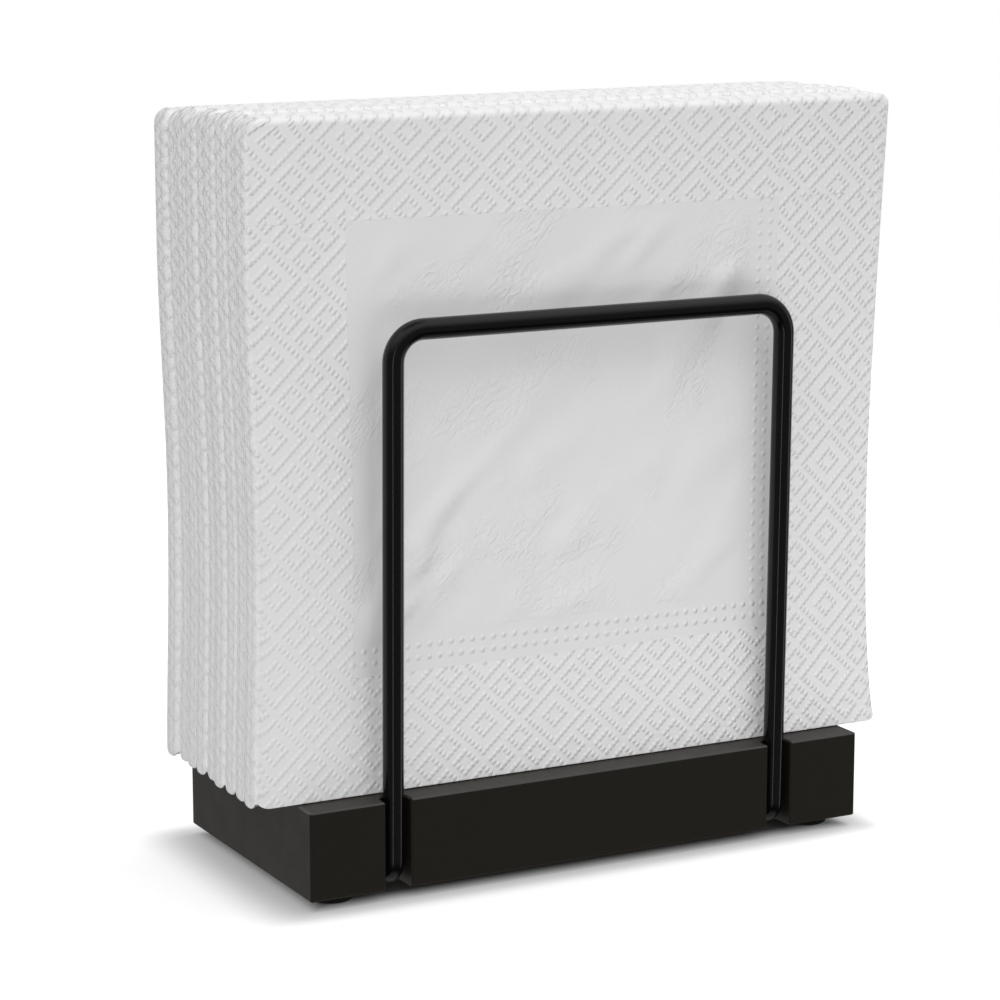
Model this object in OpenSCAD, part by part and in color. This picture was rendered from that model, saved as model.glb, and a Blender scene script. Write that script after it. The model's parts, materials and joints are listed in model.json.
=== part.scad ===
// Napkin holder: a black wooden block on rubber feet, with a bent rod hoop at the front and
// another at the rear, and a stack of napkins folded in four that stands between the hoops.
// Sizes are in millimetres. X runs along the front, the front faces -Y, and Z points up from
// the surface that the feet stand on.

/* [Block] */
// Length of the block along the front
base_w = 150; // [130:1:240]
// Depth of the block from front to rear
base_d = 71; // [56:1:120]
// Height of the block without its feet
base_h = 21.5; // [18:0.5:40]
// Chamfer along the edges of the block and of its slots
edge_chamfer = 0.4; // [0.3:0.1:1.2]

/* [Hoops] */
// Diameter of the steel rod
rod_d = 5; // [3.5:0.1:6]
// Height of the top bar's centre line above the block, along the leg
hoop_rise = 109.8; // [60:0.1:140]
// Distance from the end of the block to the centre line of a leg
leg_inset = 22.6; // [19:0.1:32]
// Lean of each hoop away from the napkins, in degrees
hoop_lean = 0.8; // [0:0.1:2]
// Centre-line radius of a hoop's upper corners
corner_r = 7.5; // [6:0.5:10]
// Centre-line radius of the bends at the feet of the legs
bend_r = 3.4; // [3.2:0.1:8]
// Depth of the rod's outer side behind the face of the block, at the block's top
rod_recess = 0.45; // [0.2:0.05:1.5]
// Gap between the rod and each side of its slot
slot_gap = 0.82; // [0.3:0.02:1.2]
// Gap between the rod and the bottom of its slot and groove
seat_gap = 0.2; // [0.1:0.05:0.4]
// Gap between the ends of the two hoops under the block
tail_gap = 0.4; // [0.2:0.1:4]

/* [Clamp plates] */
// Length of a plate across the rod tails
plate_w = 34; // [30:1:40]
// Depth of a plate along the rod tails
plate_d = 24; // [14:1:30]
// Thickness of a plate
plate_t = 1.5; // [1.3:0.1:2]
// Radius of a plate's corners
plate_corner_r = 4; // [1:0.5:6]
// Distance from the rod tails to a screw
screw_offset = 11; // [9:0.5:13]
// Diameter of a screw's shank
screw_d = 3; // [2.5:0.1:3.4]
// Length of a screw with its head
screw_l = 12; // [8:1:14]
// Diameter of a screw's countersunk head
screw_head_d = 5.4; // [4.6:0.1:5.6]
// Gap between a screw and its holes
screw_gap = 0.05; // [0.03:0.01:0.2]

/* [Feet] */
// Diameter of a rubber foot
foot_d = 10.6; // [8:0.2:13]
// Height of a rubber foot
foot_h = 2.5; // [2.2:0.1:6]
// Radius around a foot's lower edge
foot_edge_r = 0.8; // [0.3:0.1:1.5]
// Distance from the end of the block to a foot's centre
foot_inset_x = 9; // [7:0.1:11]
// Distance from the face of the block to a foot's centre
foot_inset_y = 8.8; // [7:0.1:14]

/* [Napkins] */
// How many napkins stand in the holder
napkin_count = 9; // [4:1:12]
// Width of a folded napkin
napkin_w = 171; // [120:1:220]
// Height of a folded napkin
napkin_h = 157.6; // [120:0.2:220]
// Thickness of each of a napkin's four leaves
leaf_t = 0.3; // [0.2:0.05:0.6]
// Gap between one napkin and the next
napkin_gap = 0.4; // [0.3:0.05:0.8]
// Gap between the stack and the rod of each hoop, at the block's top
bay_gap = 2.35; // [1:0.05:5]
// Gap between a napkin and the block that it rests on
rest_gap = 0.2; // [0.1:0.05:0.3]
// Radius of a napkin's corners
napkin_corner_r = 3; // [2:0.5:15]
// How far the open side is drawn in at half height
open_pinch = 3.2; // [0.5:0.1:6]
// Width of the folded side that is pressed solid
spine_w = 8; // [6:0.5:15]
// How far the stack stands to the right of the block's middle
stack_shift = 0.5; // [-2:0.1:2]
// How far the napkins stand out of line sideways
napkin_stagger = 0.5; // [0:0.1:3]
// How much taller the tallest napkin is folded
napkin_rise = 1.4; // [0:0.1:4]

/* [Hidden] */
$fn = 96;
// How far a cut runs past the surface that it opens
overrun = 1;
// Gap between a rod tail and the plate under it
tail_lift = 0.1;
// Length past a screw's point that its hole is drilled
drill_spare = 0.5;
// Sizes of the cross in a screw's head
cross_l = 3;
cross_w = 0.7;
cross_depth = 0.8;
// Part of the bend seat's radius that stays square at each end of the eased corner in the block
seat_corner_share = 0.2;
// Sideways place of each napkin, as a share of the stagger, from the front one to the rear one
stagger_shares = [-0.5, 0.3, 0.1, -0.8, 0.9, -0.2, 0.2, 1, -1];
// Extra height of each napkin, as a share of the rise, from the front one to the rear one
rise_shares = [0, 0.2, 0.8, 0.3, 0.9, 0.2, 1, 0.4, 0.6];

rod_r = rod_d / 2;
base_top = foot_h + base_h;
base_front = -base_d / 2;
leg_x = base_w / 2 - leg_inset;
slot_w = rod_d + 2 * slot_gap;

// A leg's centre line where it passes the block's top
leg_y = base_front + rod_recess + rod_r;
// The rod tails under the block, and the bends that lead down to them
tail_z = foot_h + tail_lift + rod_r;
bend_z = tail_z + bend_r;
bend_y = leg_y + (bend_r + (base_top - bend_z) * sin(hoop_lean)) / cos(hoop_lean);
leg_l = hoop_rise + base_top - bend_z;
tail_l = -bend_y - tail_gap / 2;

// The channel in the block: the round back of its slot and the top of its groove
seat_r = bend_r - rod_r - seat_gap;
slot_back = bend_y - seat_r;
slot_r = slot_w / 2;
slot_y = slot_back - slot_r;
groove_top = bend_z - seat_r + tail_l * sin(hoop_lean);

screw_head_h = (screw_head_d - screw_d) / 2;
plate_bottom = foot_h - plate_t;
screw_places = [
    for (side = [-1, 1], way = [-1, 1]) [side * (leg_x + way * screw_offset), 0, plate_bottom]
];

// The stack fills the bay between the hoops, and each napkin takes an equal part of it
bay_d = base_d - 2 * (rod_recess + rod_d + bay_gap);
napkin_pitch = (bay_d + napkin_gap) / napkin_count;
napkin_t = napkin_pitch - napkin_gap;
leaf_gap = (napkin_t - 4 * leaf_t) / 3;
pair_t = 2 * leaf_t + leaf_gap;
pair_y = (pair_t + leaf_gap) / 2;

napkin_nodes = [for (number = [1:napkin_count]) str("napkin_", number)];

function arc_radius(chord, depth) = (chord * chord / 4 + depth * depth) / (2 * depth);
function stagger_of(number) = napkin_stagger * stagger_shares[(number - 1) % len(stagger_shares)];
function height_of(number) = napkin_h + napkin_rise * rise_shares[(number - 1) % len(rise_shares)];

module chamfered_rectangle(width, height) {
    x = width / 2;
    y = height / 2;
    polygon([
        [-x, -y + edge_chamfer], [-x + edge_chamfer, -y],
        [x - edge_chamfer, -y], [x, -y + edge_chamfer],
        [x, y - edge_chamfer], [x - edge_chamfer, y],
        [-x + edge_chamfer, y], [-x, y - edge_chamfer]
    ]);
}

module rounded_rectangle(width, height, radius) {
    square([width - 2 * radius, height], center = true);
    square([width, height - 2 * radius], center = true);
    for (side = [-1, 1], way = [-1, 1])
        translate([side * (width / 2 - radius), way * (height / 2 - radius)])
            circle(r = radius);
}

// A flat outline in X and Z, given a thickness along Y
module along_y(thickness) {
    rotate([90, 0, 0])
        linear_extrude(thickness, center = true)
            children();
}

// A flat outline in Y and Z, given a thickness along X
module along_x(thickness) {
    rotate([90, 0, 90])
        linear_extrude(thickness, center = true)
            children();
}

module plain_block() {
    translate([0, 0, foot_h + base_h / 2])
        intersection() {
            linear_extrude(base_h, center = true)
                chamfered_rectangle(base_w, base_d);
            along_y(base_d)
                chamfered_rectangle(base_w, base_h);
            along_x(base_w)
                chamfered_rectangle(base_d, base_h);
        }
}

// Groove in the underside and eased corner between it and the slot, seen from the end
module groove_outline() {
    eased = seat_r * seat_corner_share;
    polygon([
        [base_front - overrun, foot_h - overrun],
        [overrun, foot_h - overrun],
        [overrun, groove_top],
        [bend_y - eased, groove_top],
        [slot_back, bend_z - eased],
        [base_front - overrun, bend_z - eased]
    ]);
}

// Slot in the face with a round back, seen from above
module slot_outline() {
    translate([0, slot_y])
        circle(r = slot_r);
    translate([-slot_r, base_front - overrun])
        square([slot_w, slot_y - base_front + overrun]);
}

// A V that chamfers both edges of a slot as wide as the rod's, with its mouth at y = 0
module slot_flare() {
    polygon([
        [-slot_r, edge_chamfer],
        [slot_r, edge_chamfer],
        [slot_r + edge_chamfer + overrun, -overrun],
        [-slot_r - edge_chamfer - overrun, -overrun]
    ]);
}

// What one front leg takes out of the block
module channel() {
    along_x(slot_w)
        groove_outline();
    translate([0, 0, foot_h - overrun])
        linear_extrude(base_h + 2 * overrun)
            slot_outline();
    translate([0, base_front, foot_h - overrun])
        linear_extrude(base_h + 2 * overrun)
            slot_flare();
    translate([0, (base_front + slot_y - overrun) / 2, base_top])
        along_y(slot_y - base_front + overrun)
            mirror([0, 1])
                slot_flare();
    translate([0, slot_y, base_top - edge_chamfer])
        cylinder(r1 = slot_r, r2 = slot_r + edge_chamfer + overrun, h = edge_chamfer + overrun);
}

module base_block() {
    color("#201f1b")
        difference() {
            plain_block();
            for (side = [-1, 1], turn = [0, 180])
                rotate([0, 0, turn])
                    translate([side * leg_x, 0, 0])
                        channel();
            for (place = screw_places)
                translate(place)
                    cylinder(d = screw_d + 2 * screw_gap, h = screw_l + drill_spare);
        }
}

// A quarter turn of the rod
module rod_bend(radius) {
    rotate_extrude(angle = 90)
        translate([radius, 0])
            circle(d = rod_d);
}

// One side of a hoop, from its corner at the top to its tail under the block
module hoop_leg() {
    translate([-corner_r, -bend_r, leg_l - corner_r])
        rotate([90, 0, 0])
            rod_bend(corner_r);
    translate([0, -bend_r, 0])
        cylinder(d = rod_d, h = leg_l - corner_r);
    rotate([90, 0, 90])
        rotate([0, 0, 180])
            rod_bend(bend_r);
    translate([0, 0, -bend_r])
        rotate([-90, 0, 0])
            cylinder(d = rod_d, h = tail_l);
}

// A hoop is one rod, and leans as a whole about its lower bends
module hoop() {
    corner_x = leg_x - corner_r;
    color("#1a1a1a")
        translate([0, bend_y, bend_z])
            rotate([hoop_lean, 0, 0]) {
                translate([-corner_x, -bend_r, leg_l])
                    rotate([0, 90, 0])
                        cylinder(d = rod_d, h = 2 * corner_x);
                for (side = [0, 1])
                    mirror([side, 0, 0])
                        translate([leg_x, 0, 0])
                            hoop_leg();
            }
}

module front_hoop() {
    hoop();
}

module rear_hoop() {
    rotate([0, 0, 180])
        hoop();
}

// Body of a countersunk screw or of its hole, with its head's face at z = 0
module screw_form(gap, length) {
    cylinder(d = screw_d + 2 * gap, h = length);
    cylinder(d1 = screw_head_d + 2 * gap, d2 = screw_d + 2 * gap, h = screw_head_h);
}

module clamp_plate(side) {
    color("#3a3b3c")
        translate([side * leg_x, 0, plate_bottom])
            difference() {
                linear_extrude(plate_t)
                    rounded_rectangle(plate_w, plate_d, plate_corner_r);
                for (way = [-1, 1])
                    translate([way * screw_offset, 0, 0])
                        screw_form(screw_gap, plate_t + overrun);
            }
}

module left_clamp_plate() {
    clamp_plate(-1);
}

module right_clamp_plate() {
    clamp_plate(1);
}

module clamp_screw() {
    difference() {
        screw_form(0, screw_l);
        for (turn = [0, 90])
            rotate([0, 0, turn])
                translate([-cross_l / 2, -cross_w / 2, -overrun])
                    cube([cross_l, cross_w, cross_depth + overrun]);
    }
}

module clamp_screws() {
    color("#a9a9a4")
        for (place = screw_places)
            translate(place)
                clamp_screw();
}

// A round bumper with an eased lower edge, at the block's left or right end and front or rear
module foot(side, way) {
    foot_r = foot_d / 2;
    color("#121212")
        translate([side * (base_w / 2 - foot_inset_x), way * (base_d / 2 - foot_inset_y), 0])
            rotate_extrude() {
                square([foot_r - foot_edge_r, foot_h]);
                translate([0, foot_edge_r])
                    square([foot_r, foot_h - foot_edge_r]);
                translate([foot_r - foot_edge_r, foot_edge_r])
                    circle(r = foot_edge_r);
            }
}

module foot_front_left() {
    foot(-1, -1);
}

module foot_front_right() {
    foot(1, -1);
}

module foot_rear_left() {
    foot(-1, 1);
}

module foot_rear_right() {
    foot(1, 1);
}

// Front view of a napkin: rounded corners, and an open side that is drawn in
module napkin_front_view(height) {
    radius = arc_radius(height, open_pinch);
    difference() {
        translate([-overrun / 2, height / 2])
            rounded_rectangle(napkin_w + overrun, height, napkin_corner_r);
        translate([napkin_w / 2 - open_pinch + radius, height / 2])
            circle(r = radius);
    }
}

// End view of a napkin: two folds side by side along the top
module napkin_end_view(height) {
    fold_r = pair_t / 2;
    for (way = [-1, 1])
        translate([way * pair_y, height - fold_r])
            circle(r = fold_r);
    translate([-napkin_t / 2, 0])
        square([napkin_t, height - fold_r]);
}

// Top view of a napkin: one round fold down its left side
module napkin_top_view() {
    fold_r = napkin_t / 2;
    translate([fold_r - napkin_w / 2, 0])
        circle(r = fold_r);
    translate([fold_r - napkin_w / 2, -fold_r])
        square([napkin_w - fold_r, napkin_t]);
}

// The spaces between the four leaves, open at the bottom and at one side
module leaf_gaps(height) {
    length = napkin_w - spine_w;
    fold_z = height - leaf_t - leaf_gap / 2;
    translate([(napkin_w - length) / 2 + overrun, 0, 0])
        along_x(length) {
            for (way = [-1, 1]) {
                translate([way * pair_y - leaf_gap / 2, -overrun])
                    square([leaf_gap, fold_z + overrun]);
                translate([way * pair_y, fold_z])
                    circle(d = leaf_gap);
            }
            translate([-leaf_gap / 2, -overrun])
                square([leaf_gap, height + 2 * overrun]);
        }
}

module napkin(number) {
    height = height_of(number);
    color("#efefed")
        translate([
            stack_shift + stagger_of(number),
            (number - (napkin_count + 1) / 2) * napkin_pitch,
            base_top + rest_gap
        ])
            difference() {
                intersection() {
                    linear_extrude(height)
                        napkin_top_view();
                    along_y(napkin_t + 2 * overrun)
                        napkin_front_view(height);
                    along_x(napkin_w + 2 * overrun)
                        napkin_end_view(height);
                }
                leaf_gaps(height);
            }
}

base_block();
front_hoop();
rear_hoop();
left_clamp_plate();
right_clamp_plate();
clamp_screws();
foot_front_left();
foot_front_right();
foot_rear_left();
foot_rear_right();
for (number = [1:napkin_count])
    napkin(number);
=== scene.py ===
"""Napkin holder: black wooden block, bent rod hoops, and a stack of embossed paper napkins."""
import json
import math

import bpy
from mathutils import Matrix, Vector


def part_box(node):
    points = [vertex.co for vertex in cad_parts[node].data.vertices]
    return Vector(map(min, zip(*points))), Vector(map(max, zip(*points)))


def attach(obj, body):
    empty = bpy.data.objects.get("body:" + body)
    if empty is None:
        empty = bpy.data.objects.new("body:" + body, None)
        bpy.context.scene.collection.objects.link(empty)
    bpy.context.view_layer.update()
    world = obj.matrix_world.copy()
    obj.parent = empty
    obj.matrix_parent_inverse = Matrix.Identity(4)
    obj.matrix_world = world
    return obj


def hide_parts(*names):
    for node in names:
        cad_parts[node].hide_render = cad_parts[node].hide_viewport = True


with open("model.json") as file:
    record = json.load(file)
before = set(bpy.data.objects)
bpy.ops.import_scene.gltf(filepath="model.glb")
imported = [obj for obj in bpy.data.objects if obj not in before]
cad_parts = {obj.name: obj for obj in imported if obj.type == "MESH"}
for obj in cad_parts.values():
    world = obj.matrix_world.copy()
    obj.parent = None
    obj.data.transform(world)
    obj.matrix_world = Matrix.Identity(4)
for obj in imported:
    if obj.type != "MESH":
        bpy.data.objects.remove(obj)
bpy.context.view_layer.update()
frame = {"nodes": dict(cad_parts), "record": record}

MM = 0.001

# The view of the photograph: the camera looks at this point from this side, height and distance
LOOK_AT = Vector((-7.06, 0, 84.69)) * MM
CAMERA_SIDE = math.radians(-27.885)
CAMERA_RISE = math.radians(11.241)
CAMERA_DISTANCE = 778.5 * MM
LENS_MM = 114.6
SENSOR_MM = 36

# The room that lights the object: above, at eye level and below, and bright strips at eye level,
# each with its side in degrees, how narrow it is, and its strength
SKY_LIGHT = 0.48
BAND_LIGHT = 0.16
GROUND_LIGHT = 0.39
STRIPS = [(-28, 3000, 4.5), (71, 250, 1.4), (-140, 4, 0.42)]
# How steep a line of sight is where the sky begins and is full, and where the ground is full and ends
SKY_EDGE = (0.0, 0.45)
GROUND_EDGE = (-0.65, -0.3)
# The sky and the ground are brighter to the right and in front, by this much
BRIGHT_SIDE = (0.8, -0.6)
SKY_LEAN = 0.15
# What gloss sees overhead: a lamp, brightest at this height and a third as bright straight above
LAMP_LIGHT = 1.0
LAMP_HEIGHT = 0.86
# Where the lamp's light begins, how it gathers upwards, and how much is lost straight above
LAMP_EDGE = -0.05
LAMP_SHAPE = 1.3
LAMP_HOLLOW = 0.65
# Where gloss sees the ground: full straight below, and none above this
MIRRORED_GROUND_EDGE = (-0.95, -0.7)
# How far the painted shadow on the floor reaches to the left of the block and elsewhere
SHADE_LEFT = 18 * MM
SHADE_AROUND = 9 * MM
# How far in under the block the painted shadow deepens to its darkest
SHADE_UNDER = 7 * MM
# How far outside the block the floor has its full colour again, and the part of its glow that the
# painted shadow leaves there
SHADE_EDGE = 0.5 * MM
SHADE_LEFT_OVER = 0.35
# How bright the floor is of its own, and half its width
FLOOR_GLOW = 0.62
FLOOR_HALF = 0.6
# The softboxes. All but the key are for paper only, and the relief one rakes over the embossing
SOFTBOXES = {
    "key": {"place": (0.6, 0.05, 0.95), "aim": (0, 0, 0.1), "size": (0.5, 0.5), "watts": 2.0},
    "relief": {"place": (-0.95, -0.65, 0.3), "aim": (0, 0, 0.1), "size": (0.3, 0.3), "watts": 5.5},
    "top": {"place": (0.15, -0.35, 0.75), "aim": (0, 0, 0.1), "size": (0.4, 0.3), "watts": 1.08},
    "low_fill": {
        "place": (0.09, -0.2, 0.03),
        "aim": (0.03, -0.03, 0.03),
        "size": (0.25, 0.1),
        "watts": 0.095,
    },
    "rear": {"place": (0.8, 0.8, 0.15), "aim": (0, 0, 0.1), "size": (0.3, 0.3), "watts": 6.0},
}

# Depth of the grain in paint, rubber and plating
PAINT_DEPTH = 0.1 * MM
# The painted highlight along the block's upper edges, a thin lighter line where light would catch
# the chamfer: how far inwards it starts to fade and ends
PAINTED_EDGE_HIGHLIGHT_RUN = (0.405 * MM, 0.45 * MM)

# The folded napkins, from the front one to the rear one
NAPKINS = [f"napkin_{number}" for number in range(1, 10)]
# How much further in the side fold of the rear napkin lies, how much lower its top fold is, and
# how much lower still at the side fold
REAR_INSET = 1.3 * MM
REAR_DROP = 1.0 * MM
REAR_DROOP = 1.0 * MM

# How a napkin is folded: the leaves of a pair lie this far apart, and the paper is this thick
LEAF_STEP = 1.8 * MM
PAPER_THICKNESS = 0.45 * MM
# Below the top fold the inner leaf of a pair stands off further, by this much after this run, and
# its side fold lies further in
LEAF_SPREAD = 0.55 * MM
SPREAD_RUN = 25 * MM
INNER_INSET = 0.9 * MM
# At the open side the soft edges of the leaves turn forwards, this much over this run
EDGE_TURN = 1.1 * MM
EDGE_RUN = 3.0 * MM
# Radius of the corners at the side fold of the front and the rear napkin, and at the open side
FOLD_CORNER = 5.0 * MM
REAR_FOLD_CORNER = 3.2 * MM
OPEN_CORNER = 2.0 * MM
# How far from the side fold the paper gives way to its round corner
CORNER_RUN = 20 * MM
# Part of a corner's quarter circle that the paper follows
CORNER_STOP = 0.92
# The lower end of the side fold is a rounded tab: its two sides end this much higher than its middle
TAB_RISE = 1.5 * MM
# How square that end is: 2 is a bow, more is flatter with steeper sides
TAB_SQUARENESS = 4.0
TAB_RUN = 3.0 * MM
# The side fold is flatter than round, with painted shade along thin crease lines down it, this far
# round from its middle
SIDE_FOLD_DEPTH = 0.14
SIDE_FOLD_SHAPE = 0.35
CREASE_PLACES = (-1.0 * MM, 0.9 * MM)
CREASE_WIDTH = 0.3 * MM
CREASE_WANDER = 1.4 * MM
CREASE_WAVES = (0, 60, 14)
# How dark the painted shade along the crease lines is, and in the small spots between them, and how
# fine the spots are
CREASE_SHADE = 0.4
SPECK_SHADE = 0.1
SPECK_GRAIN = 750.0
SPECK_EDGE = (0.38, 0.62)
# How far the folded side and the open side are drawn in, most of all a third of the way up
FOLD_PINCH = 1.4 * MM
OPEN_PINCH = 4.0 * MM
PINCH_SHAPE = 0.68
# The part of the height over which the folded side is drawn in, and how narrow that bow is
FOLD_PINCH_HEIGHT = 0.78
FOLD_PINCH_SHAPE = 1.5
# How quickly the open side's bow fades across the napkin
OPEN_PINCH_FADE = 3.0

# The embossing: half steps between dots across and down the flat sheet
DOT_STEP_AROUND = 0.965 * MM
DOT_STEP_DOWN = 0.88 * MM
DOT_RADIUS = 0.98 * MM
DOT_HEIGHT = 0.22 * MM
# How deep the foot of a raised dot sits in the paper, and how many sides and steps it has
DOT_SINK = 0.02 * MM
DOT_SIDES = 7
DOT_STEPS = 3
# How much longer than wide a dot is, along the slant that rises to the right
DOT_STRETCH = 1.07
# The pattern repeats after this many half steps. From one napkin to the next it lies this much higher
REPEAT_STEPS = 20
REPEAT_AROUND = REPEAT_STEPS * DOT_STEP_AROUND
REPEAT_DOWN = REPEAT_STEPS * DOT_STEP_DOWN
PATTERN_SHIFT = 5.3 * MM
# How far the raised dots stay from the edges of the sheet, and how far over the top fold they go
DOT_MARGIN = 1.2 * MM
DOT_OVERLAP = 0.4 * MM
# How far the raised dots of every napkin reach from its side fold and from its top fold
SIDE_REACH = 2.4 * MM
TOP_REACH = 2.0 * MM

# Depth of the tissue's fibres, of its crinkles and of the embossing's shading
FIBRE_DEPTH = 0.025 * MM
CRINKLE_DEPTH = 0.11 * MM
EMBOSSED_DEPTH = 0.285 * MM
# How deep the embossing's shading is at the side fold and at the top fold, where it is 1 on the
# leaves, and how far from the fold that begins and ends to change
SIDE_SHADING = 1.3
SIDE_SHADING_RUN = (2.5 * MM, 5 * MM)
TOP_SHADING = 1.2
TOP_SHADING_RUN = (0.6 * MM, 2.2 * MM)
# How much of the embossing's shading is worn off low on the left, and where that begins and ends
LOW_WEAR = 0.4
LOW_WEAR_DOWN = (20 * MM, 130 * MM)
LOW_WEAR_AROUND = (20 * MM, 60 * MM)
# How much deeper it is on the right, and where that begins and ends
FRESH_GAIN = 0.18
FRESH_AROUND = (90 * MM, 150 * MM)

# The smooth panel in the embossing, and the two dotted lines along its far sides
PANEL_AROUND = (26.8 * MM, 143.0 * MM)
PANEL_DOWN = (23.8 * MM, 129.9 * MM)
LINE_AROUND = 137.7 * MM
LINE_DOWN = 123.8 * MM
LINE_GAP = 3.0 * MM
LINE_STEP = 2.85 * MM
# How much of the shading is left on the dotted line along the panel's side
LINE_WEAR = 0.6
# How white the dull and the bright parts of the tissue are and the smooth panel, how white the painted
# highlight on the crest of the top fold is, and how grey the painted shade of the side fold is
DULL_WHITE = 0.80
BRIGHT_WHITE = 0.88
PANEL_WHITE = 0.72
CREST_HIGHLIGHT_WHITE = 0.97
PAINTED_SIDE_SHADE_GREY = 0.42
# How much greyer the smooth panel is
PANEL_GREY = 0.25
# How strong the painted highlight on the crest of the top fold is, and how far from the fold that
# begins and ends to fade
CREST_HIGHLIGHT_STRENGTH = 0.9
CREST_HIGHLIGHT_RUN = (0.8 * MM, 2.2 * MM)
# How close the panel's crinkles are, along and across their slant, and the patches they come in
CRINKLE_WAVES = (170.0, 330.0)
CRINKLE_SHARPNESS = 9.0
PATCH_WAVES = (22.0, 34.0)
PATCH_EDGE = (0.45, 0.65)

# The borders were pressed out of step with the middle. Each zone of the sheet, measured from the side
# fold and from the top fold, has a diamond with its middle at its own place, and is drawn out downwards
FAR = 1.0
PRESSED_ZONES = [
    {
        "around": PANEL_AROUND,
        "down": (-FAR, FAR),
        "diamond": (61.6 * MM, 144.9 * MM),
        "drawn_out": 1.0,
    },
    {
        "around": (-FAR, PANEL_AROUND[0]),
        "down": (PANEL_DOWN[0], FAR),
        "diamond": (65.1 * MM, 144.9 * MM),
        "drawn_out": 1.031,
    },
    {
        "around": (-FAR, PANEL_AROUND[0]),
        "down": (-FAR, PANEL_DOWN[0]),
        "diamond": (66.6 * MM, 145.8 * MM),
        "drawn_out": 1.0,
    },
    {
        "around": (PANEL_AROUND[1], FAR),
        "down": (PANEL_DOWN[0], FAR),
        "diamond": (64.05 * MM - REPEAT_AROUND, 144.2 * MM),
        "drawn_out": 1.031,
    },
    {
        "around": (PANEL_AROUND[1], FAR),
        "down": (-FAR, PANEL_DOWN[0]),
        "diamond": (63.25 * MM - REPEAT_AROUND, 144.9 * MM),
        "drawn_out": 1.0,
    },
]

# The wrinkles of the smooth panel: how far the whole range of their noise lifts the paper, how far
# inside the panel's edge they begin, where they are highest (low on the left and high on the right)
# and how much of them is left elsewhere
WRINKLE_HEIGHT = 5.0 * MM
WRINKLE_EDGE = 9 * MM
LOW_WRINKLES_DOWN = (65 * MM, 100 * MM)
LOW_WRINKLES_AROUND = (45 * MM, 100 * MM)
HIGH_WRINKLES_AROUND = (75 * MM, 120 * MM)
HIGH_WRINKLES_DOWN = (40 * MM, 62 * MM)
WRINKLES_LEFT = 0.25
# How close the wrinkles are along and across their slant, how uneven, and the folded lines between them
WRINKLE_WAVES = (16.0, 66.0)
WRINKLE_UNEVENNESS = 0.4
FOLDED_LINE_WIDTH = 0.12
FOLDED_LINE_HEIGHT = 1.6


class Wire:
    """A result in a node tree. Sums with it add Math nodes, so that a formula reads as one."""

    def __init__(self, tree, socket):
        self.tree = tree
        self.socket = socket

    def math(self, operation, *others):
        node = self.tree.nodes.new("ShaderNodeMath")
        node.operation = operation
        for socket, value in zip(node.inputs, (self, *others)):
            feed(self.tree, socket, value)
        return Wire(self.tree, node.outputs[0])

    def __add__(self, other):
        return self.math("ADD", other)

    def __radd__(self, other):
        return self.math("ADD", other)

    def __sub__(self, other):
        return self.math("SUBTRACT", other)

    def __rsub__(self, other):
        return (self * -1.0).math("ADD", other)

    def __mul__(self, other):
        return self.math("MULTIPLY", other)

    def __rmul__(self, other):
        return self.math("MULTIPLY", other)

    def __truediv__(self, other):
        return self.math("DIVIDE", other)

    def __mod__(self, other):
        return self.math("FLOORED_MODULO", other)

    def __lt__(self, other):
        return self.math("LESS_THAN", other)

    def __gt__(self, other):
        return self.math("GREATER_THAN", other)

    def __abs__(self):
        return self.math("ABSOLUTE")

    def floor(self):
        return self.math("FLOOR")

    def sin(self):
        return self.math("SINE")

    def cos(self):
        return self.math("COSINE")

    def sqrt(self):
        return self.math("SQRT")

    def power(self, other):
        return self.math("POWER", other)

    def least(self, other):
        return self.math("MINIMUM", other)

    def most(self, other):
        return self.math("MAXIMUM", other)

    def within(self, low, high):
        return self.most(low).least(high)

    def ramp(self, low, high):
        """Rises smoothly from 0 to 1 as the value goes from low to high."""
        node = self.tree.nodes.new("ShaderNodeMapRange")
        node.interpolation_type = "SMOOTHSTEP"
        feed(self.tree, node.inputs["Value"], self)
        feed(self.tree, node.inputs["From Min"], low)
        feed(self.tree, node.inputs["From Max"], high)
        return Wire(self.tree, node.outputs[0])


def feed(tree, socket, value):
    """Links a result to a socket, or sets the socket's own value."""
    if isinstance(value, Wire):
        tree.links.new(value.socket, socket)
    else:
        socket.default_value = value


def add_node(tree, kind, inputs=None, **settings):
    """Adds a node, with its settings and with values or results for its inputs."""
    node = tree.nodes.new(kind)
    for name, value in settings.items():
        setattr(node, name, value)
    for name, value in (inputs or {}).items():
        feed(tree, node.inputs[name], value)
    return node


def result(tree, kind, inputs=None, output=0, **settings):
    """Adds a node and gives one of its results."""
    node = add_node(tree, kind, inputs, **settings)
    return Wire(tree, node.outputs[output])


def group_tree(name, kind, inputs, outputs):
    """A new node group with named sockets. Returns it, its inputs by name and its output node."""
    tree = bpy.data.node_groups.new(name, kind)
    for title, socket_type in inputs.items():
        tree.interface.new_socket(title, in_out="INPUT", socket_type=socket_type)
    for title, socket_type in outputs.items():
        tree.interface.new_socket(title, in_out="OUTPUT", socket_type=socket_type)
    source = tree.nodes.new("NodeGroupInput")
    wires = {title: Wire(tree, source.outputs[title]) for title in inputs}
    return tree, wires, tree.nodes.new("NodeGroupOutput")


def vector(tree, x, y, z):
    return result(tree, "ShaderNodeCombineXYZ", {"X": x, "Y": y, "Z": z})


# Camera, floor and light
def make_camera():
    away = Vector((
        math.sin(CAMERA_SIDE) * math.cos(CAMERA_RISE),
        -math.cos(CAMERA_SIDE) * math.cos(CAMERA_RISE),
        math.sin(CAMERA_RISE),
    ))
    data = bpy.data.cameras.new("photo_camera")
    data.lens = LENS_MM
    data.sensor_width = SENSOR_MM
    data.clip_start = 10 * MM
    camera = bpy.data.objects.new("photo_camera", data)
    camera.location = LOOK_AT + away * CAMERA_DISTANCE
    camera.rotation_euler = away.to_track_quat("Z", "Y").to_euler()
    bpy.context.scene.collection.objects.link(camera)
    bpy.context.scene.camera = camera


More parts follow.
